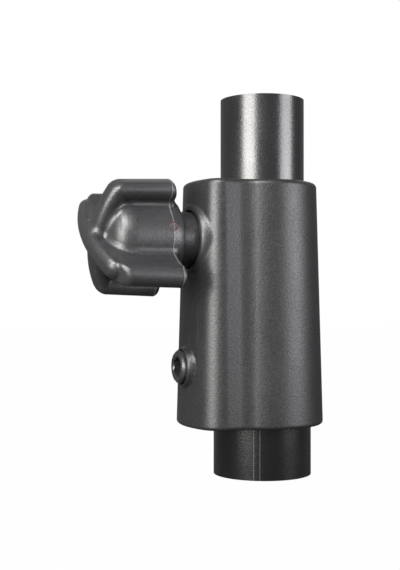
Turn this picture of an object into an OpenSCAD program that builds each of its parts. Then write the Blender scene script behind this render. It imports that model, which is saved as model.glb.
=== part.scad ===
// Height lock of a lighting stand's mast: the upper tube slides and turns in the lower tube,
// and a winged knob presses a shoe against it through the nose of a moulded collar.
// The mast runs along Z from the lower tube's cut end at the origin, and the knob points to -X.

/* [Mast tubes] */
// Outside diameter of the lower tube
lower_od = 35; // [34.4:0.1:36]
// Outside diameter of the upper tube
upper_od = 30; // [29:0.1:30.2]
// Wall of both tubes
tube_wall = 1.5; // [1.2:0.05:1.6]
// Length of lower tube that shows below the collar
lower_below = 18; // [16:1:60]
// Height between the shoe and the bush on the lower tube's end
tube_gap = 7.5; // [5:0.5:12]
// Length of upper tube that shows above the collar
upper_above = 30; // [26:1:120]

/* [Collar] */
// Height of the collar
collar_h = 86; // [84:1:96]
// Radius of the round barrel at its lower end
barrel_r = 21.8; // [21.4:0.1:24]
// Furthest reach of the nose from the mast's axis at its lower end
nose_reach = 30.5; // [30:0.1:33]
// Half the width of the nose between its side walls
nose_half = 17.2; // [16.6:0.1:18.6]
// Radius in plan of the nose's bowed face
nose_face_r = 36; // [30:0.5:50]
// Radius in plan of the nose's two upright corners
nose_corner_r = 6; // [5:0.1:8]
// Radius in plan of the hollow blends between nose and barrel
nose_blend_r = 10; // [8:0.1:12]
// Height of the round pad under the knob above the nose's face
pad_h = 0.2; // [0.1:0.1:1.5]
// Height of the boss round the collar screw above the nose's face
grub_boss_h = 0.4; // [0.2:0.1:1.5]
// Mould draft of the outside, in degrees
collar_draft = 1.6; // [0.8:0.01:1.8]
// Rounding of the upper edge
top_round = 1.7; // [1:0.1:2.2]
// Rounding of the lower edge
bottom_round = 1.3; // [0.8:0.1:2]
// Clearance between the lower tube and its socket in the collar
socket_clear = 0.06; // [0.05:0.01:0.15]
// Clearance round the upper tube where nothing guides it
passage_clear = 0.8; // [0.6:0.1:1.2]

/* [Bushes] */
// Running clearance between the upper tube and both bushes
bush_clear = 0.08; // [0.04:0.01:0.1]
// Clearance of a bush in the part that holds it
seat_clear = 0.04; // [0.02:0.01:0.08]
// Wall of the upper bush
upper_bush_wall = 1.9; // [1.4:0.1:2]
// Height of the upper bush
upper_bush_h = 10.5; // [8:0.5:12]
// Width of the slot that lets the upper bush spring in
upper_bush_slot = 2.4; // [1.5:0.1:4]
// Depth of the upper bush's top below the collar's top
upper_bush_sink = 1.2; // [0.6:0.1:2]
// Height of the rib round the upper bush
bush_rib_h = 1.6; // [1.2:0.1:2.4]
// Reach of that rib beyond the bush
bush_rib = 0.6; // [0.3:0.1:0.7]
// Thickness of the mouth bush's flange on the lower tube's end
mouth_flange = 3; // [2:0.25:4]
// Depth of the mouth bush's skirt in the lower tube
mouth_skirt = 8; // [5:0.5:12]

/* [Upper tube's foot] */
// Height of the foot's retaining disc above the mast's cut end
foot_up = 20; // [19:0.5:26]
// Thickness of the retaining disc
disc_t = 2; // [1.5:0.25:3]
// Height of the glide ring
glide_h = 6; // [4:0.5:8]
// Sliding clearance between the glide ring and the lower tube
glide_clear = 0.03; // [0.02:0.01:0.05]
// Width of the glide ring's slanted gap
glide_gap = 1.6; // [1:0.1:2.5]
// Axial play of the glide ring in its groove
glide_play = 0.12; // [0.08:0.01:0.25]
// Radius of the foot plug's core inside the glide ring
core_r = 12.4; // [11:0.1:13]
// Thickness of the flange under the upper tube's end
foot_flange = 2; // [1.5:0.25:3]
// Length of the plug inside the upper tube
plug_in = 18; // [12:1:24]
// Depth reamed out of the upper tube's bore, past its weld bead, to take the plug
ream = 0.25; // [0.2:0.05:0.35]
// Wall of the plug's upper part
plug_wall = 4; // [3:0.5:6]
// Clearance of the disc, the flange and the buffer in the lower tube
foot_clear = 0.35; // [0.3:0.05:0.5]
// Height of the rubber buffer on the flange
buffer_h = 4; // [3:0.5:6]
// Diameter of the two pins that hold the plug
pin_d = 3.2; // [2.5:0.1:4]
// Height of the pins above the flange
pin_up = 9; // [7:0.5:11]
// Diameter of the foot screw
foot_screw_d = 4.8; // [4:0.2:5.6]
// Length of the foot screw under its head
foot_screw_l = 16; // [12:1:18]

/* [Clamp] */
// Depth of the knob's axis below the collar's top
knob_down = 20.5; // [19:0.5:23]
// Thread diameter of the clamp stud
stud_d = 10; // [8:0.5:10]
// Thread pitch of the clamp stud
stud_pitch = 1.5; // [1.25:0.25:1.5]
// Turns from clamped to fully loose
loose_turns = 1.5; // [1:0.25:1.75]
// Thickness of the clamp shoe at its middle
shoe_t = 3.7; // [3.4:0.1:4]
// Width of the clamp shoe across the mast
shoe_w = 13; // [11:0.5:14]
// Height between the shoe and the upper bush
shoe_gap = 1.8; // [1:0.1:3]
// Gap between the clamped shoe and the upper tube
shoe_clear = 0.05; // [0.03:0.01:0.1]
// Clearance of the shoe in its pocket
pocket_clear = 0.3; // [0.2:0.05:0.4]
// Diameter of the threaded insert for the stud
insert_d = 14.4; // [13:0.2:16]
// Running clearance of a thread or a journal
thread_clear = 0.05; // [0.03:0.01:0.08]
// Diameter of the stud's tip in the shoe
tip_d = 6; // [5:0.25:6.5]
// Thickness of the clip on the stud's tip
clip_t = 0.9; // [0.7:0.1:1]

/* [Knob] */
// Radius of the neck that runs in the collar's pad
neck_r = 9.5; // [8.8:0.1:10]
// Distance of the neck's end from the mast's axis when clamped
neck_end = 28.3; // [28:0.1:28.8]
// Radius of the round hub
hub_r = 13.7; // [13:0.1:14.5]
// Distance of the hub's shoulder from the mast's axis
hub_start = 35; // [34:0.25:36]
// Distance at which the hub's dome begins
dome_start = 55; // [53:0.5:57]
// Height of the hub's dome
dome_h = 6.4; // [5:0.2:8]
// Distance of the wings' inner ends from the mast's axis
wing_start = 38.2; // [37:0.1:39]
// Tip radius of the long wings
long_r = 27.1; // [24:0.1:28]
// Tip radius of the short wings
short_r = 22.4; // [20:0.1:24]
// Distance of the long wings' crown from the mast's axis
long_crown = 66.5; // [64:0.1:68]
// Distance of the long wings' bead ends from the mast's axis
long_bead_end = 60.2; // [58:0.1:62]
// Distance of the short wings' crown from the mast's axis
short_crown = 64.4; // [63:0.1:66]
// Radius of the long wings' crown
long_crown_r = 62; // [40:1:80]
// Radius of the short wings' crown
short_crown_r = 42; // [30:1:50]
// Corner radius of the short wings at their crown
short_corner = 4.2; // [2:0.1:5]
// Corner radius of the long wings' webs at their crown
long_corner = 5; // [2:0.1:6]
// Thickness of the wings' webs
web_t = 5.8; // [5:0.1:7]
// Diameter of the beads along the wings' tips
bead_d = 7.4; // [6.4:0.1:8.4]
// Radius of the hollow blends between webs and hub
web_blend = 3; // [2:0.25:4]
// Draft of the wings towards their crown, in degrees
wing_draft = 2.6; // [1:0.1:3]
// Tilt of the short wings from the horizontal through the knob's axis
short_tilt = 59; // [0:1:90]
// Angle between the short and the long wings
wing_angle = 93; // [85:1:97]
// Width across the flats of the hexagon nut in the knob
nut_flats = 16; // [15:0.5:17]
// Thickness of that nut
nut_t = 8; // [6:0.5:9]
// Distance of the nut's inner face from the mast's axis
nut_start = 43; // [41:0.5:45]

/* [Collar screw] */
// Height of the collar screw above the collar's lower end
grub_up = 21; // [16:0.5:28]
// Thread diameter of the collar screw
grub_d = 11.6; // [10:0.1:12]
// Distance of the collar screw's outer end from the mast's axis
grub_end = 33.2; // [32:0.1:34]
// Width across the flats of its hexagon socket
grub_hex = 6.4; // [5:0.1:6.5]
// Depth of its hexagon socket
grub_hex_depth = 6; // [4:0.5:8]
// Diameter of the threaded insert for the collar screw
grub_insert_d = 14.6; // [14.2:0.1:15.4]
// Diameter of the boss round the collar screw on the nose's face
grub_boss_d = 16.6; // [16:0.1:19]
// Thickness of the brass disc under the collar screw
grub_disc_t = 1.6; // [1:0.1:2]

/* [Hidden] */
$fn = 96;
eps = 0.01;

// Heights along the mast
collar_z = lower_below;
collar_top = collar_z + collar_h;
bush_top = collar_top - upper_bush_sink;
bush_seat = bush_top - upper_bush_h;
knob_z = collar_top - knob_down;
shoe_h = 2 * (bush_seat - shoe_gap - knob_z);
tube_end = knob_z - shoe_h / 2 - tube_gap - mouth_flange;
shoulder_z = tube_end + mouth_flange + 0.1;
grub_z = collar_z + grub_up;
mast_top = collar_top + upper_above;

// Radii of the tubes
lower_r = lower_od / 2;
lower_bore = lower_r - tube_wall;
upper_r = upper_od / 2;
upper_bore = upper_r - tube_wall;
bush_bore = upper_r + bush_clear;
bush_r = bush_bore + upper_bush_wall;
rib_z = bush_seat + upper_bush_h / 2 - bush_rib_h / 2;

// Heights of the foot's pieces
ring_z = foot_up + disc_t;
groove_h = glide_h + 2 * glide_play;
flange_z = ring_z + groove_h;
upper_z = flange_z + foot_flange;
foot_r = lower_bore - foot_clear;

// Distances along the knob's axis, outwards from the mast's axis
draft_tan = tan(collar_draft);
pad_end = nose_reach - (collar_h - knob_down) * draft_tan + pad_h;
pad_r = neck_r + 2.6;
pad_bore = neck_r + 0.5;
pad_floor = neck_end - 0.9;
shoe_face = upper_r + shoe_clear;
shoe_back = shoe_face + shoe_t;
travel = loose_turns * stud_pitch;
pocket_back = shoe_back + travel + 0.3;
tip_end = shoe_back - 2.6;
clip_at = tip_end + 0.6;
stud_r = stud_d / 2;
stud_end = nut_start + nut_t + 2;
bead_r = bead_d / 2;
nut_r = nut_flats / 2 / cos(30);
short_side = bar_side(short_r + 0.3, short_corner, short_crown, short_crown_r);
long_web_side = bar_side(long_r - bead_r + 1, long_corner, long_crown, long_crown_r);
long_bead_side = bar_side(long_r + 0.3, 1.2, long_bead_end, 300);
grub_face = nose_reach - grub_up * draft_tan;
boss_end = grub_face + grub_boss_h;
disc_back = lower_r + grub_disc_t;
grub_in = lower_r + 1.9;
moulded_gap = 0.02;
// The blends' arcs run this far into the web and the hub, so that they meet them at an angle
blend_sink = 0.05;

// Steps of the arcs in the collar's plan
barrel_steps = 72;
blend_steps = 6;
corner_steps = 8;
face_steps = 10;
edge_steps = 5;

function arc(c, r, from, to, n) =
    [for (i = [0:n]) let (a = from + (to - from) * i / n) [c[0] + r * cos(a), c[1] + r * sin(a)]];

// Centres of the plan's arcs, which stay where they are as the outline grows or shrinks
blend_x = sqrt(pow(barrel_r + nose_blend_r, 2) - pow(nose_half + nose_blend_r, 2));
blend_y = nose_half + nose_blend_r;
blend_angle = atan2(blend_y, blend_x);
face_x = nose_reach - nose_face_r;
corner_y = nose_half - nose_corner_r;
corner_x = face_x + sqrt(pow(nose_face_r - nose_corner_r, 2) - pow(corner_y, 2));
face_angle = asin(corner_y / (nose_face_r - nose_corner_r));

// The collar's outline in plan, moved outwards by d, anticlockwise from the blend below the nose
function outline(d) = concat(
    arc([0, 0], barrel_r + d, blend_angle - 180, 180 - blend_angle, barrel_steps),
    arc([-blend_x, blend_y], nose_blend_r - d, -blend_angle - 90 / blend_steps / 4, -90, blend_steps),
    arc([-corner_x, corner_y], nose_corner_r + d, 90, 180 - face_angle, corner_steps),
    arc([-face_x, 0], nose_face_r + d, 180 - face_angle + 2, 180 + face_angle - 2, face_steps),
    arc([-corner_x, -corner_y], nose_corner_r + d, 180 + face_angle, 270, corner_steps),
    arc([-blend_x, -blend_y], nose_blend_r - d, 90, blend_angle + 90 / blend_steps / 4, blend_steps));

// Height and inset of each ring of the collar's outside: rounded edges and a drafted wall
function edge_ring(i, r) = [r * (1 - cos(90 * i / edge_steps)), r * (1 - sin(90 * i / edge_steps))];
collar_rings = concat(
    [for (i = [0:edge_steps]) let (e = edge_ring(i, bottom_round)) [e[0], -e[1]]],
    [for (i = [edge_steps:-1:0]) let (e = edge_ring(i, top_round)) [collar_h - e[0], -e[1]]]);

module collar_outside() {
    n = len(outline(0));
    m = len(collar_rings);
    points = [for (ring = collar_rings) for (p = outline(ring[1] - ring[0] * draft_tan))
        [p[0], p[1], collar_z + ring[0]]];
    walls = [for (k = [0:m - 2]) for (i = [0:n - 1]) let (j = (i + 1) % n)
        for (t = [0, 1]) t == 0 ? [k * n + i, (k + 1) * n + j, k * n + j]
                                : [k * n + i, (k + 1) * n + i, (k + 1) * n + j]];
    polyhedron(points, concat([[for (i = [0:n - 1]) i]], walls,
                              [[for (i = [n - 1:-1:0]) (m - 1) * n + i]]), convexity = 4);
}

// A round bar or bore along the knob's axis, from distance a to distance b at height z
module across(z, a, b, r1, r2) {
    translate([-a, 0, z]) rotate([0, -90, 0]) cylinder(h = b - a, r1 = r1, r2 = r2 == undef ? r1 : r2);
}

module ring_between(z, h, inner, outer) {
    translate([0, 0, z]) difference() {
        cylinder(h = h, r = outer);
        translate([0, 0, -1]) cylinder(h = h + 2, r = inner);
    }
}

// Steel tube, black powder coated, that the collar is fixed on
module lower_tube() {
    color([0.09, 0.09, 0.10]) ring_between(0, tube_end, lower_bore, lower_r);
}

// Moulded collar: barrel and nose, tube socket, passage, bush seat, shoe pocket and screw bosses
module collar_body() {
    color([0.25, 0.25, 0.26]) difference() {
        union() {
            collar_outside();
            across(knob_z, pocket_back, pad_end - 0.5, pad_r);
            across(knob_z, pad_end - 0.5, pad_end, pad_r, pad_r - 0.5);
            across(grub_z, lower_r + 3, boss_end - 0.8, grub_boss_d / 2);
            across(grub_z, boss_end - 0.8, boss_end, grub_boss_d / 2, grub_boss_d / 2 - 0.8);
        }
        translate([0, 0, collar_z - 1]) cylinder(h = shoulder_z - collar_z + 1, r = lower_r + socket_clear);
        translate([0, 0, collar_z - eps])
            cylinder(h = 1, r1 = lower_r + socket_clear + 0.9, r2 = lower_r + socket_clear);
        translate([0, 0, shoulder_z - 1]) cylinder(h = collar_top - shoulder_z + 2, r = upper_r + passage_clear);
        translate([0, 0, bush_seat]) cylinder(h = collar_top - bush_seat + 1, r = bush_r + seat_clear);
        translate([0, 0, rib_z]) cylinder(h = bush_rib_h, r = bush_r + bush_rib + seat_clear);
        translate([-pocket_back, -shoe_w / 2 - pocket_clear, knob_z - shoe_h / 2 - pocket_clear])
            cube([pocket_back - upper_r + 2, shoe_w + 2 * pocket_clear, shoe_h + 2 * pocket_clear]);
        insert_outside(knob_z, pocket_back, pad_floor, insert_d / 2, moulded_gap);
        across(knob_z, pad_floor - eps, pad_end + 1, pad_bore);
        insert_outside(grub_z, grub_in, grub_face - 0.4, grub_insert_d / 2, moulded_gap);
        across(grub_z, lower_r - 3, boss_end + 1, grub_d / 2 + 0.3);
    }
}

// Outside of a brass insert: three lands that key it into the moulding, all grown by gap
module insert_outside(z, a, b, outer, gap) {
    land = (b - a) / 5;
    across(z, a - gap, b + gap, outer - 0.6 + gap);
    for (k = [0, 2, 4])
        across(z, a + k * land - gap, a + (k + 1) * land + gap, outer + gap);
}

module brass_insert(z, a, b, outer, bore) {
    color([0.78, 0.62, 0.30]) difference() {
        insert_outside(z, a, b, outer, 0);
        across(z, a - 1, b + 1, bore);
    }
}

// Brass insert that the clamp stud is threaded through
module clamp_insert() {
    brass_insert(knob_z, pocket_back, pad_floor, insert_d / 2, stud_r + thread_clear);
}

// Brass insert that the collar screw is threaded through
module grub_insert() {
    brass_insert(grub_z, grub_in, grub_face - 0.4, grub_insert_d / 2, grub_d / 2 + thread_clear);
}

// Brass disc that the collar screw presses on the lower tube, hollowed to the tube's curve
module grub_disc() {
    color([0.78, 0.62, 0.30]) difference() {
        across(grub_z, lower_r - 2, disc_back, grub_d / 2 - 1);
        translate([0, 0, grub_z - grub_d]) cylinder(h = 2 * grub_d, r = lower_r + 0.02);
    }
}

// Black set screw that pins the collar to the lower tube
module grub_screw() {
    color([0.30, 0.30, 0.31]) difference() {
        union() {
            across(grub_z, disc_back + 0.02, disc_back + 1.2, grub_d / 2 - 1.2, grub_d / 2);
            across(grub_z, disc_back + 1.2, grub_end - 0.7, grub_d / 2);
            across(grub_z, grub_end - 0.7, grub_end, grub_d / 2, grub_d / 2 - 0.7);
        }
        translate([-grub_end + grub_hex_depth, 0, grub_z]) rotate([0, -90, 0])
            cylinder(h = grub_hex_depth + 1, r = grub_hex / 2 / cos(30), $fn = 6);
        across(grub_z, grub_end - 0.5, grub_end + eps, grub_hex / 2, grub_hex / 2 + 0.5);
    }
}

// Split plastic bush that guides the upper tube: its rib springs into a groove of the collar
module upper_bush() {
    color([0.12, 0.12, 0.12]) difference() {
        union() {
            ring_between(bush_seat, upper_bush_h, bush_bore, bush_r);
            ring_between(rib_z + 0.1, bush_rib_h - 0.2, bush_bore, bush_r + bush_rib);
        }
        translate([upper_r - 1, -upper_bush_slot / 2, bush_seat - 1])
            cube([upper_bush_wall + 3, upper_bush_slot, upper_bush_h + 2]);
    }
}

// Plastic bush on the lower tube's end: a flange on the cut edge and a skirt inside the tube
module mouth_bush() {
    color([0.85, 0.85, 0.82]) difference() {
        union() {
            translate([0, 0, tube_end]) cylinder(h = mouth_flange, r = lower_r - 0.2);
            translate([0, 0, tube_end - mouth_skirt]) cylinder(h = mouth_skirt + 1, r = lower_bore - seat_clear);
        }
        translate([0, 0, tube_end - mouth_skirt - 1])
            cylinder(h = mouth_skirt + mouth_flange + 2, r = bush_bore);
    }
}

// Split glide ring in the foot's groove: it slides in the lower tube while the foot turns in it
module glide_ring() {
    color([0.90, 0.89, 0.84]) difference() {
        ring_between(ring_z + glide_play, glide_h, core_r + 0.3, lower_bore - glide_clear);
        translate([0, core_r + 1, ring_z + glide_play + glide_h / 2]) rotate([0, 25, 0])
            cube([glide_gap, 8, 2.4 * glide_h], center = true);
    }
}

// Plastic plug in the upper tube's end, with the flange under the tube and the ring's core
module foot_plug() {
    color([0.13, 0.13, 0.14]) difference() {
        union() {
            translate([0, 0, ring_z]) cylinder(h = groove_h + eps, r = core_r);
            translate([0, 0, flange_z]) cylinder(h = foot_flange, r = foot_r);
            translate([0, 0, upper_z - eps]) cylinder(h = plug_in, r = upper_bore + ream - seat_clear);
        }
        translate([0, 0, ring_z - 1]) cylinder(h = foot_screw_l + 2, r = foot_screw_d / 2);
        translate([0, 0, ring_z + foot_screw_l]) cylinder(h = plug_in + groove_h, r = upper_bore - plug_wall);
        pin_holes(pin_d / 2 + 0.02);
    }
}

module pin_holes(r) {
    for (side = [0, 180])
        rotate([0, 0, side]) translate([0, 0, upper_z + pin_up]) rotate([-90, 0, 0])
            translate([0, 0, upper_bore - plug_wall - 0.6]) cylinder(h = upper_r, r = r, $fn = 32);
}

// Two pins through the upper tube's wall into the plug, ground flush with the tube
module foot_pins() {
    color([0.70, 0.70, 0.72]) intersection() {
        pin_holes(pin_d / 2);
        translate([0, 0, upper_z]) cylinder(h = plug_in, r = upper_r - 0.05);
    }
}

// Steel disc that keeps the glide ring on the plug
module foot_disc() {
    color([0.72, 0.72, 0.74]) ring_between(foot_up, disc_t, foot_screw_d / 2 + 0.15, foot_r);
}

// Self-tapping screw that holds the disc, with a pan head and a cross slot
module foot_screw() {
    head_r = foot_screw_d * 0.9;
    head_h = foot_screw_d * 0.45;
    slot = foot_screw_d / 5;
    color([0.74, 0.74, 0.76]) difference() {
        union() {
            translate([0, 0, foot_up - 0.02]) cylinder(h = foot_screw_l + 0.02, r = foot_screw_d / 2 - 0.02);
            translate([0, 0, foot_up - head_h]) cylinder(h = head_h - 0.02, r1 = head_r * 0.75, r2 = head_r);
        }
        for (turn = [0, 90])
            rotate([0, 0, turn]) translate([-head_r / 2, -slot / 2, foot_up - head_h - slot])
                cube([head_r, slot, slot + head_h * 0.6]);
    }
}

// Rubber ring on the flange that softens the stop against the mouth bush
module buffer_ring() {
    color([0.06, 0.06, 0.06]) ring_between(upper_z, buffer_h, upper_r + 0.01, foot_r);
}

// Steel tube with a smooth dark finish that rises from the collar
module upper_tube() {
    color([0.35, 0.35, 0.37]) difference() {
        ring_between(upper_z, mast_top - upper_z, upper_bore, upper_r);
        translate([0, 0, upper_z - 1]) cylinder(h = plug_in + 1, r = upper_bore + ream);
        pin_holes(pin_d / 2 + 0.02);
    }
}

// Plastic shoe with a hollow face that the stud presses against the upper tube
module clamp_shoe() {
    tip_r = tip_d / 2 + thread_clear;
    clip_r = tip_d / 2 + 1.5;
    color([0.16, 0.16, 0.17]) difference() {
        translate([-shoe_back, -shoe_w / 2, knob_z - shoe_h / 2]) cube([shoe_t + 4, shoe_w, shoe_h]);
        translate([0, 0, knob_z - shoe_h]) cylinder(h = 2 * shoe_h, r = shoe_face);
        across(knob_z, tip_end - 0.02, shoe_back + 1, tip_r);
        across(knob_z, clip_at - 0.1, clip_at + clip_t + 0.1, clip_r);
        translate([-clip_at - clip_t - 0.1, -clip_r, knob_z]) cube([clip_t + 0.2, 2 * clip_r, shoe_h]);
    }
}

// Spring clip in the stud's groove that draws the shoe back with the stud
module stud_clip() {
    color([0.80, 0.80, 0.82]) difference() {
        across(knob_z, clip_at, clip_at + clip_t, tip_d / 2 + 1.35);
        across(knob_z, clip_at - 1, clip_at + clip_t + 1, tip_d / 2 - 0.58);
        translate([-clip_at - clip_t - 1, -1.8, knob_z - tip_d - 1]) cube([clip_t + 2, 3.6, tip_d]);
    }
}

// Threaded steel stud with a grooved tip, locked in the knob's nut
module clamp_stud() {
    color([0.75, 0.75, 0.77]) difference() {
        union() {
            across(knob_z, tip_end, shoe_back + 0.5, tip_d / 2);
            across(knob_z, shoe_back + 0.5, shoe_back + 1.5, tip_d / 2, stud_r);
            across(knob_z, shoe_back + 1.5, stud_end - 1, stud_r);
            across(knob_z, stud_end - 1, stud_end, stud_r, stud_r - 1);
        }
        difference() {
            across(knob_z, clip_at - 0.05, clip_at + clip_t + 0.05, tip_d);
            across(knob_z, clip_at - 1, clip_at + clip_t + 1, tip_d / 2 - 0.6);
        }
    }
}

// Steel hexagon nut moulded into the knob round the stud
module knob_nut() {
    color([0.70, 0.70, 0.72]) difference() {
        hexagon(nut_start, nut_t, nut_r);
        across(knob_z, nut_start - 1, nut_start + nut_t + 1, stud_r + 0.02);
    }
}

module hexagon(a, h, r) {
    translate([-a, 0, knob_z]) rotate([0, -90, 0]) cylinder(h = h, r = r, $fn = 6);
}

// Half of a bar's side outline, as [radius, distance]: inner corner, tip, and a crown of radius crown_r
function bar_side(tip, corner, crown, crown_r) = let (
    low = crown - crown_r,
    slope = tan(wing_draft),
    reach = tip - (crown - corner - wing_start) * slope - corner,
    knee = low + sqrt(pow(crown_r - corner, 2) - pow(reach, 2)),
    lean = asin(reach / (crown_r - corner)))
    concat(
        arc([tip - 2, wing_start + 2], 2, -90, 0, 4),
        arc([reach, knee], corner, wing_draft, 90 - lean, 6),
        [for (i = [1:8]) let (a = lean * (1 - i / 8)) [crown_r * sin(a), low + crown_r * cos(a)]]);

// A slab 20 mm thick in the shape of a side outline, lying in the knob's upright plane
module side_slab(side) {
    rotate([90, 0, 0]) linear_extrude(height = 20, center = true)
        for (half = [0, 1]) mirror([0, half])
            polygon(concat([[-wing_start, 0]], [for (p = side) [-p[1], p[0]]]));
}

// Two opposite wings: a web and a bead along each tip, each cut to its own side outline
module wing_pair(tilt, tip, web_side, bead_side) {
    long = 2 * bead_d + dome_start - wing_start;
    translate([0, 0, knob_z]) rotate([90 - tilt, 0, 0]) {
        intersection() {
            translate([-wing_start - long, -web_t / 2, bead_r - tip]) cube([long, web_t, 2 * (tip - bead_r)]);
            side_slab(web_side);
        }
        intersection() {
            for (end = [0, 180])
                rotate([end, 0, 0]) translate([-wing_start, 0, tip - bead_r]) rotate([0, -90 - wing_draft, 0])
                    translate([0, 0, -1]) cylinder(h = long, r = bead_r);
            side_slab(bead_side);
        }
    }
}

// Hollow blends where the webs leave the round part of the hub
module web_blends() {
    off = web_t / 2 + web_blend - blend_sink;
    span = hub_r + web_blend - blend_sink;
    along = sqrt(pow(span, 2) - pow(off, 2));
    share = hub_r / span;
    translate([-wing_start - 0.6, 0, knob_z]) rotate([0, -90, 0])
        linear_extrude(height = dome_start - wing_start - 1)
            for (tilt = [short_tilt, short_tilt - wing_angle], turn = [0, 180], half = [0, 1])
                rotate([0, 0, tilt + turn - 90]) mirror([0, half]) difference() {
                    polygon([[along * share - 3, 0], [along, 0], [along, off], [along * share, off * share]]);
                    translate([along, off]) circle(r = web_blend);
                }
}

// Moulded winged knob: neck, hub with a domed end, two long and two short wings
module knob_body() {
    hub = concat(
        [[0, neck_end], [neck_r - 0.5, neck_end], [neck_r, neck_end + 0.5], [neck_r, hub_start - 4.4],
         [hub_r - 1.3, hub_start - 1.3], [hub_r - 0.9, hub_start - 1.1], [hub_r - 0.3, hub_start + 0.6],
         [hub_r, hub_start + 2]],
        [for (i = [0:10]) [hub_r * cos(9 * i), dome_start + dome_h * sin(9 * i)]]);
    color([0.27, 0.27, 0.29]) difference() {
        union() {
            translate([0, 0, knob_z]) rotate([0, -90, 0]) rotate_extrude() polygon(hub);
            wing_pair(short_tilt, short_r, short_side, short_side);
            wing_pair(short_tilt - wing_angle, long_r, long_web_side, long_bead_side);
            web_blends();
        }
        across(knob_z, neck_end - 1, stud_end + 0.5, stud_r + 0.02);
        hexagon(nut_start - 0.02, nut_t + 0.04, nut_r + 0.02);
    }
}

lower_tube();
collar_body();
grub_insert();
grub_disc();
grub_screw();
clamp_insert();
upper_bush();
mouth_bush();
glide_ring();
foot_plug();
foot_disc();
foot_screw();
foot_pins();
buffer_ring();
upper_tube();
clamp_shoe();
stud_clip();
clamp_stud();
knob_nut();
knob_body();
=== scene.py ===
"""Looks of the height lock of a lighting stand's mast: camera, light, moulded pieces and finishes."""
from math import asin, atan2, cos, pi, radians, sin, sqrt, tan

import bmesh
import bpy
import numpy as np
from mathutils import Matrix, Vector


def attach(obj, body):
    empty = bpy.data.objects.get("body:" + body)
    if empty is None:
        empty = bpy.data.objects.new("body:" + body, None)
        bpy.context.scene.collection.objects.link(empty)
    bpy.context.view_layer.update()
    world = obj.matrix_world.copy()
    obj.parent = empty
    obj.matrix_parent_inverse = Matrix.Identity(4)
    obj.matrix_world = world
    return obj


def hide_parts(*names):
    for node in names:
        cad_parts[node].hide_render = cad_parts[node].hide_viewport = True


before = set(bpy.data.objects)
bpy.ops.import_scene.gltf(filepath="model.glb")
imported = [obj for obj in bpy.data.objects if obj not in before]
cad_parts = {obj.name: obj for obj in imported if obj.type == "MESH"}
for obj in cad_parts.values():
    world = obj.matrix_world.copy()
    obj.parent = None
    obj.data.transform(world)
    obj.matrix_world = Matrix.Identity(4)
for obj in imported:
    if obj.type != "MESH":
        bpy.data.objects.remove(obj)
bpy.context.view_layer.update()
MM = 0.001

# ---- Camera -------------------------------------------------------------------------------
# It looks level at the mast from 370 mm away, turned 23 degrees from the knob's side view. The
# mast's axis is right of the picture's middle, and the picture is shifted up a little.
YAW = radians(23)
DISTANCE = 370
EYE_HEIGHT = 64.4
AXIS_ASIDE = 22.4
SENSOR = 36
PICTURE_HEIGHT, PIXELS_PER_MM, PIXELS_UP = 570, 2.77, 9
toward_camera = Vector((-sin(YAW), -cos(YAW), 0))
to_the_right = Vector((cos(YAW), -sin(YAW), 0))

camera_data = bpy.data.cameras.new("camera")
camera_data.sensor_width = SENSOR
camera_data.lens = SENSOR * PIXELS_PER_MM * DISTANCE / PICTURE_HEIGHT
camera_data.shift_y = PIXELS_UP / PICTURE_HEIGHT
camera_data.clip_start = 0.01
camera = bpy.data.objects.new("camera", camera_data)
camera.location = MM * (DISTANCE * toward_camera - AXIS_ASIDE * to_the_right
                        + Vector((0, 0, EYE_HEIGHT)))
camera.rotation_euler = (radians(90), 0, atan2(toward_camera.x, -toward_camera.y))
bpy.context.collection.objects.link(camera)
bpy.context.scene.camera = camera
bpy.context.scene.view_settings.view_transform = "Standard"


# ---- Light and floor ----------------------------------------------------------------------
# Two low, short soft boxes left and right and one above the left, as the streaks on the tubes and
# the gleams on the knob show, and a faint one behind for the back. Mirror-like rays see a dim
# room. The background is white, and the floor is pale and casts no shadow of its own.
LIT_HEIGHT = 0.06
MIRRORED_ROOM, DARK_ROOM = 0.22, 0.012
WHITE = (1.0, 1.0, 1.0)


def soft_box(name, angle, distance, width, height, centre_height, watts, colour):
    """A lamp that faces the part, at an angle round the mast from the camera. Sizes in metres."""
    data = bpy.data.lights.new(name, "AREA")
    data.shape = "RECTANGLE"
    data.size = width
    data.size_y = height
    data.energy = watts
    data.color = colour
    lamp = bpy.data.objects.new(name, data)
    a = radians(angle)
    away = toward_camera * cos(a) + to_the_right * sin(a)
    lamp.location = away * distance + Vector((0, 0, centre_height))
    aim = Vector((0, 0, LIT_HEIGHT)) - lamp.location
    lamp.rotation_euler = aim.to_track_quat("-Z", "Y").to_euler()
    bpy.context.collection.objects.link(lamp)
    return lamp


soft_box("left_box", -39, 1.0, 0.6, 0.36, 0.21, 20, (1.0, 0.975, 0.94))
soft_box("right_box", 65, 1.0, 0.6, 0.36, 0.21, 10.5, (0.98, 0.96, 1.0))
soft_box("top_box", -25, 0.8, 0.6, 0.4, 0.75, 28, WHITE)
back_box = soft_box("back_box", 172, 1.0, 1.2, 0.5, 0.8, 2.5, WHITE)
back_box.visible_camera = False


def wire(tree, made, wires):
    """Links each named input to a socket, or gives it a value."""
    for key, value in wires.items():
        if isinstance(value, bpy.types.NodeSocket):
            tree.links.new(value, made.inputs[key])
        else:
            made.inputs[key].default_value = value
    return made


def node(tree, kind, wires=None, **settings):
    """A shader node with its properties set and its inputs wired."""
    made = tree.nodes.new("ShaderNode" + kind)
    for key, value in settings.items():
        setattr(made, key, value)
    return wire(tree, made, wires or {})


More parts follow.
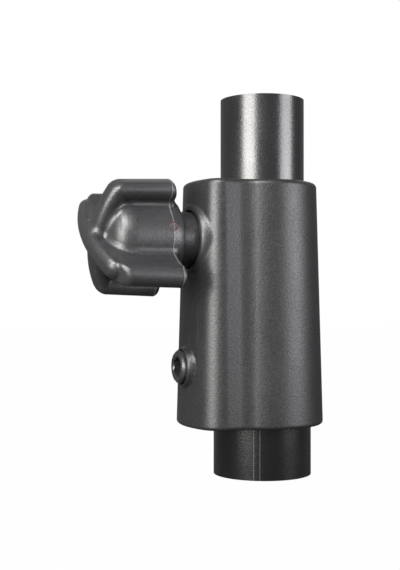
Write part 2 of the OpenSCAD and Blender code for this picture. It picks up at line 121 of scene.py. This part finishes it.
world = bpy.data.worlds.new("room")
world.use_nodes = True
room = world.node_tree
ray = node(room, "LightPath").outputs
seen = ray["Is Camera Ray"]
mirrored = node(room, "Math", {0: ray["Is Glossy Ray"], 1: MIRRORED_ROOM, 2: DARK_ROOM},
                operation="MULTIPLY_ADD")
dim = node(room, "Background", {"Color": (0.96, 0.97, 1, 1), "Strength": mirrored.outputs[0]})
bright = node(room, "Background", {"Color": (1, 1, 1, 1), "Strength": 1.0})
both = node(room, "MixShader", {0: seen, 1: dim.outputs[0], 2: bright.outputs[0]})
room.links.new(both.outputs[0], room.nodes["World Output"].inputs["Surface"])
bpy.context.scene.world = world

FLOOR_HALF, FLOOR_DROP, PAPER_GLOW = 1.5, 0.0004, 0.99
bm = bmesh.new()
bmesh.ops.create_grid(bm, x_segments=1, y_segments=1, size=FLOOR_HALF)
floor_mesh = bpy.data.meshes.new("floor")
bm.to_mesh(floor_mesh)
bm.free()
floor = bpy.data.objects.new("floor", floor_mesh)
floor.location.z = -FLOOR_DROP
floor.visible_shadow = False
bpy.context.collection.objects.link(floor)
paper = bpy.data.materials.new("floor_paper")
paper.use_nodes = True
tree = paper.node_tree
place = node(tree, "TexCoord").outputs["Object"]
fibre = node(tree, "TexNoise", {"Vector": place, "Scale": 900.0, "Detail": 3.0})
tone = node(tree, "MapRange", {"Value": fibre.outputs[0], "To Min": 0.05, "To Max": 0.06})
sheet = tree.nodes["Principled BSDF"]
tree.links.new(tone.outputs[0], sheet.inputs["Base Color"])
sheet.inputs["Roughness"].default_value = 0.9
glow = node(tree, "Emission", {"Color": (1, 1, 1, 1), "Strength": 1.0})
camera_ray = node(tree, "LightPath").outputs["Is Camera Ray"]
share = node(tree, "Math", {0: camera_ray, 1: PAPER_GLOW}, operation="MULTIPLY")
mixed = node(tree, "MixShader", {0: share.outputs[0], 1: sheet.outputs[0], 2: glow.outputs[0]})
tree.links.new(mixed.outputs[0], tree.nodes["Material Output"].inputs["Surface"])
floor_mesh.materials.append(paper)


# ---- Shared surface effects ---------------------------------------------------------------
# Node groups that give masks, values and a normal, in Object coordinates, so that nothing slides
# over a piece as it moves. Every finish of the part is made from them.
GRAIN_HEIGHT, MOTTLE_SCALE = 0.0003, 55.0
SCRATCH_FROM, SCRATCH_TO, SCRATCH_COLOUR = 0.735, 0.76, (0.3, 0.3, 0.3)
WEAR_SHARE = 0.5


def group(name, inputs, outputs):
    """An empty node group with its sockets, its entry and its exit."""
    tree = bpy.data.node_groups.new(name, "ShaderNodeTree")
    for label, kind, value in inputs:
        socket = tree.interface.new_socket(label, in_out="INPUT", socket_type=kind)
        socket.default_value = value
    for label, kind in outputs:
        tree.interface.new_socket(label, in_out="OUTPUT", socket_type=kind)
    return tree, tree.nodes.new("NodeGroupInput"), tree.nodes.new("NodeGroupOutput")


def use_group(tree, group_tree, wires):
    made = tree.nodes.new("ShaderNodeGroup")
    made.node_tree = group_tree
    return wire(tree, made, wires)


# Fine grain of a moulded or coated surface: a bump, a fine speckle and a slow mottle
grain_group, entry, leave = group(
    "fine_grain",
    [("Scale", "NodeSocketFloat", 1400.0), ("Depth", "NodeSocketFloat", 0.3)],
    [("Normal", "NodeSocketVector"), ("Speckle", "NodeSocketFloat"), ("Mottle", "NodeSocketFloat")])
place = node(grain_group, "TexCoord").outputs["Object"]
fine = node(grain_group, "TexNoise", {"Vector": place, "Scale": entry.outputs["Scale"], "Detail": 3.0,
                                      "Roughness": 0.6})
slow = node(grain_group, "TexNoise", {"Vector": place, "Scale": MOTTLE_SCALE, "Detail": 4.0})
bump = node(grain_group, "Bump", {"Height": fine.outputs[0], "Strength": entry.outputs["Depth"],
                                  "Distance": GRAIN_HEIGHT})
grain_group.links.new(bump.outputs[0], leave.inputs["Normal"])
grain_group.links.new(fine.outputs[0], leave.inputs["Speckle"])
grain_group.links.new(slow.outputs[0], leave.inputs["Mottle"])

# Sparse hairline scratches: two stretched noises at a slant, cut down to thin lines
scratch_group, entry, leave = group(
    "scratches",
    [("Amount", "NodeSocketFloat", 0.5)],
    [("Mask", "NodeSocketFloat")])
place = node(scratch_group, "TexCoord").outputs["Object"]
lines = []
for turn, stretch, seed in ((0.5, (900, 900, 40), 1.7), (-0.7, (700, 700, 30), 5.1)):
    turned = node(scratch_group, "Mapping", {"Vector": place, "Rotation": (turn, turn * 0.6, 0),
                                             "Scale": stretch, "Location": (seed, seed, seed)})
    noise = node(scratch_group, "TexNoise", {"Vector": turned.outputs[0], "Scale": 1.0, "Detail": 1.0})
    line = node(scratch_group, "MapRange", {"Value": noise.outputs[0], "From Min": SCRATCH_FROM,
                                            "From Max": SCRATCH_TO})
    lines.append(line.outputs[0])
either = node(scratch_group, "Math", {0: lines[0], 1: lines[1]}, operation="MAXIMUM")
scaled = node(scratch_group, "Math", {0: either.outputs[0], 1: entry.outputs["Amount"]},
              operation="MULTIPLY")
scratch_group.links.new(scaled.outputs[0], leave.inputs["Mask"])

# Wear on outside edges: where the surface is sharply curved outwards, broken up by noise
wear_group, entry, leave = group(
    "edge_wear",
    [("From", "NodeSocketFloat", 0.54), ("To", "NodeSocketFloat", 0.62)],
    [("Mask", "NodeSocketFloat")])
curved = node(wear_group, "NewGeometry").outputs["Pointiness"]
place = node(wear_group, "TexCoord").outputs["Object"]
patchy = node(wear_group, "TexNoise", {"Vector": place, "Scale": 260.0, "Detail": 5.0})
edge = node(wear_group, "MapRange", {"Value": curved, "From Min": entry.outputs["From"],
                                     "From Max": entry.outputs["To"]})
gaps = node(wear_group, "MapRange", {"Value": patchy.outputs[0], "From Min": 0.4, "From Max": 0.62})
mask = node(wear_group, "Math", {0: edge.outputs[0], 1: gaps.outputs[0]}, operation="MULTIPLY")
wear_group.links.new(mask.outputs[0], leave.inputs["Mask"])


def finish_with(name, dark, light, rough_low, rough_high, scale, depth, metallic=0.0, specular=0.5,
                speckle=0.0, worn=None, scratches=0.0):
    """A finish with grain, mottled colour and gloss, and light scratches and worn edges if asked.

    The colour runs from dark to light and the roughness from rough_low to rough_high with the
    mottle, and speckle is what the grain adds to or takes from the roughness.
    """
    material = bpy.data.materials.new(name)
    material.use_nodes = True
    tree = material.node_tree
    skin = tree.nodes["Principled BSDF"]
    skin.inputs["Metallic"].default_value = metallic
    skin.inputs["Specular IOR Level"].default_value = specular
    grain = use_group(tree, grain_group, {"Scale": scale, "Depth": depth})
    colour = node(tree, "MixRGB", {"Fac": grain.outputs["Mottle"], "Color1": (*dark, 1),
                                   "Color2": (*light, 1)})
    speck = node(tree, "MapRange", {"Value": grain.outputs["Speckle"], "From Min": 0.3,
                                    "From Max": 0.7, "To Min": 0.85, "To Max": 1.15})
    tint = node(tree, "MixRGB", {"Fac": 1.0, "Color1": colour.outputs[0], "Color2": speck.outputs[0]},
                blend_type="MULTIPLY")
    last = tint.outputs[0]
    rough = node(tree, "MapRange", {"Value": grain.outputs["Mottle"], "From Min": 0.3,
                                    "From Max": 0.7, "To Min": rough_low, "To Max": rough_high})
    spots = node(tree, "MapRange", {"Value": grain.outputs["Speckle"], "From Min": 0.3,
                                    "From Max": 0.7, "To Min": -speckle, "To Max": speckle})
    gloss = node(tree, "Math", {0: rough.outputs[0], 1: spots.outputs[0]}, operation="ADD")
    if worn:
        wear = use_group(tree, wear_group, {})
        part = node(tree, "Math", {0: wear.outputs[0], 1: WEAR_SHARE}, operation="MULTIPLY")
        last = node(tree, "MixRGB", {"Fac": part.outputs[0], "Color1": last,
                                     "Color2": (*worn, 1)}).outputs[0]
    if scratches:
        lines = use_group(tree, scratch_group, {"Amount": scratches})
        last = node(tree, "MixRGB", {"Fac": lines.outputs[0], "Color1": last,
                                     "Color2": (*SCRATCH_COLOUR, 1)}).outputs[0]
    tree.links.new(last, skin.inputs["Base Color"])
    tree.links.new(gloss.outputs[0], skin.inputs["Roughness"])
    tree.links.new(grain.outputs["Normal"], skin.inputs["Normal"])
    return material


def dress(material, *names):
    """Gives CAD nodes a finish in place of their plain one."""
    for name in names:
        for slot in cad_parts[name].material_slots:
            slot.material = material


# ---- Knob ---------------------------------------------------------------------------------
# Glass-filled nylon, moulded in one round the nut that locks it on the stud: a domed hub on a neck,
# two short wings whose thick rim runs on over their crown, and two long wings whose beads end in
# caps of their own.

# Sizes are in millimetres. Radii lie across the knob's axis, and u runs out along it from the mast.
KNOB_UP = 83.5
NECK_R, NECK_END, NECK_ROUND, NECK_FILLET = 9.5, 28.3, 0.4, 0.3
HUB_R, HUB_START, HUB_ROUND = 13.7, 34.5, 0.8
DOME_START, DOME_TOP, DOME_SLOPE, DOME_ROUND, DOME_EDGE = 55.2, 62.0, radians(34), 4, 1.6
DOME_R = HUB_R / cos(DOME_SLOPE)
DOME_U = DOME_START - DOME_R * sin(DOME_SLOPE)
WING_START, LEAN = 38.2, tan(radians(2.6))
# Long wings: a web with a thicker rim along its crown, and a bead with a slanted cap and a lip
LONG_TILT, LONG_FILLET, LONG_END_ROUND = radians(-35), 1.9, 0.9
LONG_TIP, LONG_CROWN, LONG_ARCH, LONG_CORNER = 27.1, 67.0, 62.0, 2.6
LONG_HALF, LONG_RIM_HALF, LONG_ROUND = 2.95, 3.7, 2.8
BEAD_R, BEAD_CAP, CAP_SLANT, CAP_ROUND, BEAD_LIP, BEAD_FILLET = 3.8, 60.3, 0.6, 1.6, 0.12, 0.35
# Short wings: a thin web, and a round rim that follows the tip and the crown
SHORT_TILT, SHORT_FILLET = radians(62.5), 2.4
SHORT_TIP, SHORT_CROWN, SHORT_ARCH, SHORT_CORNER = 21.5, 64.6, 42.0, 2.4
SHORT_HALF, SHORT_SINK, SHORT_ROUND, SHORT_WEB_FILLET = 1.3, 2, 0.8, 3.0
SHORT_START, END_SLANT, END_ROUND = 38.2, 0.2, 1.5
RIM_HALF, RIM_DEPTH, RIM_ROUND = 4.1, 2.9, 2.85
# The mould's marks: a fine ridge at its parting, and a ring where the plastic went in
PARTING_U, PARTING_HEIGHT, PARTING_WIDTH, PARTING_WAVER = 39.4, 0.05, 0.22, 0.5
GATE_R, GATE_HEIGHT, GATE_WIDTH = 1.4, 0.12, 0.3
GATE = (-39.2, -13.2, KNOB_UP + 3.4)
# How the skin is made: the blank's grid, the steps onto the field, and the span of a slope
VOXEL, STEPS, LONGEST_STEP, SLOPE_SPAN = 0.3, 12, 0.5, 0.01


def arc(cx, cy, r, a, b, n):
    """Points of an arc from angle a to b, in degrees."""
    return [(cx + r * cos(radians(a + (b - a) * i / n)), cy + r * sin(radians(a + (b - a) * i / n)))
            for i in range(n + 1)]


def as_object(name, bm):
    """The mesh in an object of its own, with its faces turned outwards."""
    bmesh.ops.recalc_face_normals(bm, faces=bm.faces)
    mesh = bpy.data.meshes.new(name)
    bm.to_mesh(mesh)
    bm.free()
    obj = bpy.data.objects.new(name, mesh)
    bpy.context.collection.objects.link(obj)
    return obj


def bake_modifiers(obj):
    """Puts the result of the modifiers into the mesh."""
    evaluated = obj.evaluated_get(bpy.context.evaluated_depsgraph_get())
    mesh = bpy.data.meshes.new_from_object(evaluated)
    obj.modifiers.clear()
    obj.data = mesh
    mesh.materials.clear()
    for face in mesh.polygons:
        face.material_index = 0


def knob_point(tilt, r, w, u):
    """A point at radius r along a wing, w across it, and u out from the mast's axis."""
    return MM * Vector((-u, -r * cos(tilt) + w * sin(tilt), KNOB_UP + r * sin(tilt) + w * cos(tilt)))


def rod(bm, r1, r2, start, end):
    """A plain round bar or cone between two points."""
    turn = (end - start).to_track_quat("Z", "Y")
    place = Matrix.LocRotScale((start + end) / 2, turn, None)
    bmesh.ops.create_cone(bm, cap_ends=True, segments=64, radius1=MM * r1, radius2=MM * r2,
                          depth=(end - start).length, matrix=place)


def plate(bm, tilt, tip, crown, arch, corner, half, start):
    """A wing's rough blank: its side outline with an arched crown, extruded to its thickness."""
    low = crown - arch
    reach = tip - (crown - corner - WING_START) * LEAN - corner
    lean = asin(reach / (arch - corner))
    corner_u = low + sqrt((arch - corner) ** 2 - reach ** 2)
    side = [(tip, start)]
    side += arc(reach, corner_u, corner, 0, 90 - lean * 180 / pi, 8)
    for i in range(1, 9):
        along = lean * (1 - i / 8)
        side.append((arch * sin(along), low + arch * cos(along)))
    side += [(-r, u) for r, u in side[-2::-1]]
    blank = bm.faces.new([bm.verts.new(knob_point(tilt, r, -half, u)) for r, u in side])
    grown = bmesh.ops.extrude_face_region(bm, geom=[blank])["geom"]
    across = knob_point(tilt, 0, half, 0) - knob_point(tilt, 0, -half, 0)
    bmesh.ops.translate(bm, vec=across, verts=[v for v in grown if isinstance(v, bmesh.types.BMVert)])


def meet(a, b, r):
    """The inside of both fields, with the edge between them rounded to radius r."""
    return np.minimum(np.maximum(a, b), -r) + np.hypot(np.maximum(a + r, 0), np.maximum(b + r, 0))


def join(a, b, r):
    """The inside of either field, with a fillet of radius r in the corner between them."""
    return np.maximum(np.minimum(a, b), r) - np.hypot(np.maximum(r - a, 0), np.maximum(r - b, 0))


def side_field(r, u, tip, crown, arch, corner):
    """Distance in a wing's plane from its side outline, without the inner end."""
    return meet(r - tip + (u - WING_START) * LEAN, np.hypot(r, u - crown + arch) - arch, corner)


def in_wing(y, z, tilt):
    """Where a point lies on a wing's plane: its distance out, and how far it is off the plane."""
    return np.abs(z * sin(tilt) - y * cos(tilt)), y * sin(tilt) + z * cos(tilt)


def knob_field(x, y, z):
    """Distance from the knob's skin in mm, negative inside."""
    u, z = -x, z - KNOB_UP
    rho = np.hypot(y, z)
    dome = meet(np.hypot(rho, u - DOME_U) - DOME_R, u - DOME_TOP, DOME_ROUND)
    hub = meet(rho - HUB_R, dome, DOME_EDGE)
    hub = meet(hub, HUB_START - u, HUB_ROUND)
    neck = meet(rho - NECK_R, np.maximum(NECK_END - u, u - HUB_START - 4), NECK_ROUND)
    skin = join(hub, neck, NECK_FILLET)

    r, w = in_wing(y, z, LONG_TILT)
    side = side_field(r, u, LONG_TIP - BEAD_R, LONG_CROWN, LONG_ARCH, LONG_CORNER)
    swell = np.clip((side + 5) / 3, 0, 1) * np.clip((LONG_TIP - BEAD_R - 1 - r) / 4, 0, 1)
    half = LONG_HALF + (LONG_RIM_HALF - LONG_HALF) * swell
    web = meet(side, np.abs(w) - half, LONG_ROUND)
    out = r - LONG_TIP + BEAD_R + (u - WING_START) * LEAN
    cap = (u + CAP_SLANT * out - BEAD_CAP) / sqrt(1 + CAP_SLANT ** 2)
    lip = BEAD_LIP * np.clip((cap + CAP_ROUND) / 0.9, 0, 1)
    bead = meet(np.hypot(out, w) - BEAD_R - lip, cap, CAP_ROUND)
    long_wing = meet(join(web, bead, BEAD_FILLET), WING_START - u, LONG_END_ROUND)

    r, w = in_wing(y, z, SHORT_TILT)
    side = side_field(r, u, SHORT_TIP, SHORT_CROWN, SHORT_ARCH, SHORT_CORNER)
    deep = np.abs(side + RIM_DEPTH) - RIM_DEPTH + RIM_ROUND
    wide = np.abs(w) - RIM_HALF + RIM_ROUND
    rim = np.hypot(np.maximum(deep, 0), np.maximum(wide, 0)) + np.minimum(np.maximum(deep, wide), 0)
    web = meet(side + SHORT_SINK, np.abs(w) - SHORT_HALF, SHORT_ROUND)
    end = SHORT_START - u - END_SLANT * (SHORT_TIP - r)
    short_wing = meet(join(rim - RIM_ROUND, web, SHORT_WEB_FILLET), end, END_ROUND)

    skin = join(join(skin, long_wing, LONG_FILLET), short_wing, SHORT_FILLET)
    gate = np.sqrt((x - GATE[0]) ** 2 + (y - GATE[1]) ** 2 + (z + KNOB_UP - GATE[2]) ** 2) - GATE_R
    ring = GATE_HEIGHT * np.exp(-(gate / GATE_WIDTH) ** 2)
    ridge = PARTING_HEIGHT * np.exp(-((u - PARTING_U) / PARTING_WIDTH) ** 2)
    return skin - (ring + ridge)


# The blank: plain bars, a cone for the dome and two plates, which only have to be near the skin
bm = bmesh.new()
for r1, r2, start, end in ((NECK_R, NECK_R, NECK_END, HUB_START + 1),
                           (HUB_R, HUB_R, HUB_START, DOME_START),
                           (HUB_R, 5, DOME_START - 1, DOME_U + DOME_R * 0.97)):
    rod(bm, r1, r2, knob_point(0, 0, 0, start), knob_point(0, 0, 0, end))
plate(bm, SHORT_TILT, SHORT_TIP, SHORT_CROWN, SHORT_ARCH, SHORT_CORNER, RIM_HALF, SHORT_START - 1)
plate(bm, LONG_TILT, LONG_TIP - BEAD_R, LONG_CROWN, LONG_ARCH, LONG_CORNER, LONG_HALF, WING_START)
root = LONG_TIP - BEAD_R
end = root - (BEAD_CAP - WING_START) * LEAN
for way in (-1, 1):
    rod(bm, BEAD_R, BEAD_R, knob_point(LONG_TILT, way * root, 0, WING_START),
        knob_point(LONG_TILT, way * end, 0, BEAD_CAP))
knob = as_object("knob", bm)
remesh = knob.modifiers.new("skin", "REMESH")
remesh.mode = "VOXEL"
remesh.voxel_size = VOXEL * MM
remesh.use_smooth_shade = True
bake_modifiers(knob)

# Every point of the blank's skin is drawn onto the field, which has the fillets and round edges
count = len(knob.data.vertices)
points = np.empty(3 * count)
knob.data.vertices.foreach_get("co", points)
points = points.reshape(count, 3) / MM
for _ in range(STEPS):
    value = knob_field(*points.T)
    slope = np.stack([knob_field(*(points + shift).T) - knob_field(*(points - shift).T)
                      for shift in np.eye(3) * SLOPE_SPAN], axis=1) / (2 * SLOPE_SPAN)
    move = value[:, None] * slope / np.maximum((slope ** 2).sum(axis=1), 0.05)[:, None]
    length = np.maximum(np.linalg.norm(move, axis=1), 1e-9)
    points -= move * np.minimum(1, LONGEST_STEP / length)[:, None]
knob.data.vertices.foreach_set("co", (points * MM).ravel())
knob.data.update()

# The finish, with a pale line that wavers along the parting, a painted highlight of the fine ridge
# there, and a reddish stain round the gate
PARTING_HIGHLIGHT_TINT, GATE_TINT = (0.075, 0.074, 0.076, 1), (0.035, 0.016, 0.016, 1)
MOULDED_EDGE = (0.05, 0.05, 0.05)
knob_skin = finish_with("knob_moulding", (0.012, 0.0118, 0.0128), (0.017, 0.0168, 0.0178), 0.39, 0.45,
                        1300.0, 0.24, speckle=0.05, worn=MOULDED_EDGE)
tree = knob_skin.node_tree
skin = tree.nodes["Principled BSDF"]
place = node(tree, "TexCoord").outputs["Object"]
across = node(tree, "SeparateXYZ", {"Vector": place}).outputs["X"]
waver = node(tree, "TexNoise", {"Vector": place, "Scale": 220.0, "Detail": 2.0})
parting = node(tree, "MapRange", {"Value": waver.outputs[0],
                                  "To Min": MM * (PARTING_U - PARTING_WAVER),
                                  "To Max": MM * (PARTING_U + PARTING_WAVER)})
beside = node(tree, "Math", {0: across, 1: parting.outputs[0]}, operation="ADD")
beside = node(tree, "Math", {0: beside.outputs[0]}, operation="ABSOLUTE")
line = node(tree, "MapRange", {"Value": beside.outputs[0], "From Min": 0.24 * MM,
                               "From Max": 0.1 * MM})
from_gate = node(tree, "VectorMath", {0: place, 1: [MM * c for c in GATE]}, operation="DISTANCE")
from_ring = node(tree, "Math", {0: from_gate.outputs["Value"], 1: MM * GATE_R}, operation="SUBTRACT")
from_ring = node(tree, "Math", {0: from_ring.outputs[0]}, operation="ABSOLUTE")
stain = node(tree, "MapRange", {"Value": from_ring.outputs[0], "From Min": 0.45 * MM,
                                "From Max": 0.15 * MM})
last = skin.inputs["Base Color"].links[0].from_socket
# The parting line's pale colour is a painted highlight of its ridge; the gate's reddish stain is its
# own colour.
for mask, colour in ((line, PARTING_HIGHLIGHT_TINT), (stain, GATE_TINT)):
    last = node(tree, "MixRGB", {"Fac": mask.outputs[0], "Color1": last,
                                 "Color2": colour}).outputs[0]
tree.links.new(last, skin.inputs["Base Color"])
knob.data.materials.append(knob_skin)
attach(knob, "knob")
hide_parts("knob_body")


# ---- Collar -------------------------------------------------------------------------------
# Glass-filled nylon, put over the lower tube's end and held there by the set screw: a drafted
# barrel and a bowed nose in one loft, with the knob's round seat and the screw's boss raised from
# the nose, and the bores cut out.
COLLAR_Z, COLLAR_H = 18.0, 86.0
BARREL_R, NOSE_REACH, NOSE_HALF, FACE_R, CORNER_R, BLEND_R = 21.8, 30.5, 17.2, 36.0, 8.5, 10.0
DRAFT = tan(radians(1.6))
GRUB_Z = 39.0
PAD_END, PAD_R, PAD_SPREAD = NOSE_REACH - (KNOB_UP - COLLAR_Z) * DRAFT + 0.2, 12.1, 1.1
BOSS_END, BOSS_R, BOSS_SPREAD = NOSE_REACH - (GRUB_Z - COLLAR_Z) * DRAFT + 1.8, 6.9, 0.6
FOOT_ROUND, TOP_ROUND, LEVELS, NOSE_FROM = 1.3, 1.7, 170, 22
SEAT_R, SEAT_FLOOR, GRUB_HOLE_R = 10.0, 27.4, 6.1
BLEND_X = sqrt((BARREL_R + BLEND_R) ** 2 - (NOSE_HALF + BLEND_R) ** 2)
BLEND_Y = NOSE_HALF + BLEND_R
BLEND_ANGLE = atan2(BLEND_Y, BLEND_X) * 180 / pi
FACE_X = NOSE_REACH - FACE_R
CORNER_Y = NOSE_HALF - CORNER_R
CORNER_X = FACE_X + sqrt((FACE_R - CORNER_R) ** 2 - CORNER_Y ** 2)
FACE_ANGLE = asin(CORNER_Y / (FACE_R - CORNER_R)) * 180 / pi


def outline(d):
    """The collar's plan grown by d, anticlockwise from the blend below the nose."""
    points = arc(0, 0, BARREL_R + d, BLEND_ANGLE - 180, 180 - BLEND_ANGLE, 150)
    points += arc(-BLEND_X, BLEND_Y, BLEND_R - d, -BLEND_ANGLE, -90, 18)[1:]
    points += arc(-CORNER_X, CORNER_Y, CORNER_R + d, 90, 180 - FACE_ANGLE, 16)
    points += arc(-FACE_X, 0, FACE_R + d, 180 - FACE_ANGLE, 180 + FACE_ANGLE, 64)[1:-1]
    points += arc(-CORNER_X, -CORNER_Y, CORNER_R + d, 180 + FACE_ANGLE, 270, 16)
    points += arc(-BLEND_X, -BLEND_Y, BLEND_R - d, 90, BLEND_ANGLE, 18)[:-1]
    return points


def loft(bm, rings):
    """A closed skin: the first ring is filled, and then extruded from ring to ring."""
    start = [bm.verts.new([MM * c for c in point]) for point in rings[0]]
    lid = bm.faces.new(start)
    edges = list(lid.edges)
    at = {vert: i for i, vert in enumerate(start)}
    for ring in rings[1:]:
        made = bmesh.ops.extrude_edge_only(bm, edges=edges)["geom"]
        moved = {}
        for vert in [v for v in made if isinstance(v, bmesh.types.BMVert)]:
            below = next(e.other_vert(vert) for e in vert.link_edges if e.other_vert(vert) in at)
            moved[vert] = at[below]
            vert.co = [MM * c for c in ring[at[below]]]
        edges = [e for e in made if isinstance(e, bmesh.types.BMEdge)
                 and e.verts[0] in moved and e.verts[1] in moved]
        at = moved
    end = bm.faces.new(sorted(at, key=at.get))
    bmesh.ops.triangulate(bm, faces=[lid, end])


def soft_max(a, b, k):
    """The greater of two, with a rounded change of about k between them."""
    h = max(k - abs(a - b), 0) / k
    return max(a, b) + h * h * k / 4


def raised(x, y, z):
    """The nose's surface at (y, z), lifted onto the knob's seat and the screw's boss."""
    reach = -x
    for end, r, height, spread in ((PAD_END, PAD_R, KNOB_UP, PAD_SPREAD),
                                   (BOSS_END, BOSS_R, GRUB_Z, BOSS_SPREAD)):
        away = sqrt(y * y + (z - height) ** 2) - r
        if away < 3:
            top = end - max(0, away + 0.7) ** 2 / spread
            reach = soft_max(reach, top, 0.5)
    return (-reach, y, z)


def edge_round(r, degrees):
    """How high a point of a rounded edge lies, and how far it is set in."""
    return r * (1 - cos(radians(degrees))), -r * (1 - sin(radians(degrees)))


def lofted(name, rings):
    bm = bmesh.new()
    loft(bm, rings)
    return as_object(name, bm)


levels = [edge_round(FOOT_ROUND, a) for a in range(0, 91, 10)]
straight = COLLAR_H - FOOT_ROUND - TOP_ROUND
levels += [(FOOT_ROUND + straight * i / LEVELS, 0) for i in range(1, LEVELS)]
for a in range(90, -1, -10):
    down, inset = edge_round(TOP_ROUND, a)
    levels.append((COLLAR_H - down, inset))
rings = []
for height, inset in levels:
    z = COLLAR_Z + height
    ring = [(x, y, z) for x, y in outline(inset - height * DRAFT)]
    rings.append([raised(*p) if p[0] < -NOSE_FROM else p for p in ring])
collar = lofted("collar", rings)


def upright(r, z, n=128):
    """A ring round the mast's axis."""
    return [(r * cos(2 * pi * i / n), r * sin(2 * pi * i / n), z) for i in range(n)]


def along_knob(r, u, z, n=96):
    """A ring round an axis that runs out to the knob's side at height z."""
    return [(-u, r * cos(2 * pi * i / n), z + r * sin(2 * pi * i / n)) for i in range(n)]


# The bores as (radius, height) or (radius, u): for both tubes and their bushes, the knob's neck
# and the set screw, each with its rim eased
main_bore = ((18.4, 17), (18.4, 18.1), (17.56, 18.95), (17.56, 69.1), (15.8, 69.1), (15.8, 92.3),
             (17.02, 92.3), (17.02, 103.3), (17.6, 104), (17.6, 105))
seat_bore = ((SEAT_R, SEAT_FLOOR), (SEAT_R, PAD_END - 0.35), (10.4, PAD_END + 0.1), (10.4, 31))
grub_bore = ((GRUB_HOLE_R, 16), (GRUB_HOLE_R, BOSS_END - 0.3), (6.3, BOSS_END + 0.1), (6.3, 34))
tools = [lofted("cutter", [upright(r, z) for r, z in main_bore]),
         lofted("cutter", [along_knob(r, u, KNOB_UP) for r, u in seat_bore]),
         lofted("cutter", [along_knob(r, u, GRUB_Z) for r, u in grub_bore])]
for tool in tools:
    cut = collar.modifiers.new("cut", "BOOLEAN")
    cut.operation = "DIFFERENCE"
    cut.object = tool
    cut.solver = "MANIFOLD"
bpy.context.view_layer.update()
bake_modifiers(collar)
for tool in tools:
    bpy.data.objects.remove(tool)
collar.data.shade_smooth()
collar.data.set_sharp_from_angle(angle=radians(35))
collar_skin = finish_with("collar_moulding", (0.007, 0.007, 0.0076), (0.011, 0.011, 0.0116), 0.4,
                          0.46, 1300.0, 0.23, specular=0.42, speckle=0.05, worn=MOULDED_EDGE,
                          scratches=0.03)
collar.data.materials.append(collar_skin)
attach(collar, "mast_base")
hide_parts("collar_body")


# ---- Tubes --------------------------------------------------------------------------------
# Drawn steel: the lower one powder coated, with the weld seam showing through the coat, and the
# upper one with a smooth half-gloss lacquer.
SEAM_EDGES, SEAM_FROM, SEAM_TO = (-126.1, -119.1), 0.014, 0.005
SEAM_ROUGHER, SEAM_DEPTH = 0.35, 0.1
lower_skin = finish_with("lower_tube_finish", (0.0015, 0.0015, 0.0018), (0.0025, 0.0025, 0.003),
                         0.17, 0.23, 1500.0, 0.11, speckle=0.03)
tree = lower_skin.node_tree
skin = tree.nodes["Principled BSDF"]
at = node(tree, "SeparateXYZ", {"Vector": node(tree, "TexCoord").outputs["Object"]})
around = node(tree, "Math", {0: at.outputs["Y"], 1: at.outputs["X"]}, operation="ARCTAN2")
seams = []
for degrees in SEAM_EDGES:
    off = node(tree, "Math", {0: around.outputs[0], 1: radians(degrees)}, operation="SUBTRACT")
    off = node(tree, "Math", {0: off.outputs[0]}, operation="ABSOLUTE")
    seams.append(node(tree, "MapRange", {"Value": off.outputs[0], "From Min": SEAM_FROM,
                                         "From Max": SEAM_TO}).outputs[0])
seam = node(tree, "Math", {0: seams[0], 1: seams[1]}, operation="MAXIMUM").outputs[0]
plain = skin.inputs["Roughness"].links[0].from_socket
rougher = node(tree, "Math", {0: seam, 1: SEAM_ROUGHER, 2: plain}, operation="MULTIPLY_ADD")
tree.links.new(rougher.outputs[0], skin.inputs["Roughness"])
groove = node(tree, "Bump", {"Height": seam, "Strength": 0.2, "Distance": -SEAM_DEPTH * MM,
                             "Normal": skin.inputs["Normal"].links[0].from_socket})
tree.links.new(groove.outputs[0], skin.inputs["Normal"])
dress(lower_skin, "lower_tube")
upper_skin = finish_with("upper_tube_finish", (0.006, 0.0058, 0.0062), (0.009, 0.0086, 0.009),
                         0.24, 0.29, 1400.0, 0.11, speckle=0.03)
dress(upper_skin, "upper_tube")


# ---- Hardware -----------------------------------------------------------------------------
# Screws, inserts, bushes, ring and buffer, mostly inside the collar and the tubes. Each keeps its
# CAD shape and gets the finish of its stock.
dress(finish_with("black_screw", (0.02, 0.02, 0.022), (0.04, 0.04, 0.042), 0.28, 0.4, 1800.0, 0.15,
                  metallic=0.6, worn=(0.2, 0.2, 0.2)), "grub_screw")
dress(finish_with("turned_brass", (0.7, 0.5, 0.2), (0.82, 0.62, 0.3), 0.25, 0.4, 1500.0, 0.1,
                  metallic=1.0), "grub_insert", "grub_disc", "clamp_insert")
dress(finish_with("zinc_plate", (0.55, 0.56, 0.58), (0.68, 0.68, 0.7), 0.25, 0.42, 1400.0, 0.12,
                  metallic=1.0), "foot_disc", "foot_screw", "foot_pins", "stud_clip", "clamp_stud",
      "knob_nut")
dress(finish_with("dark_acetal", (0.02, 0.02, 0.022), (0.03, 0.03, 0.032), 0.35, 0.45, 900.0, 0.08),
      "upper_bush", "foot_plug", "clamp_shoe")
dress(finish_with("pale_acetal", (0.7, 0.69, 0.63), (0.8, 0.79, 0.74), 0.35, 0.45, 900.0, 0.06),
      "mouth_bush", "glide_ring")
dress(finish_with("buffer_rubber", (0.012, 0.012, 0.012), (0.02, 0.02, 0.02), 0.6, 0.75, 1200.0, 0.2),
      "buffer_ring")
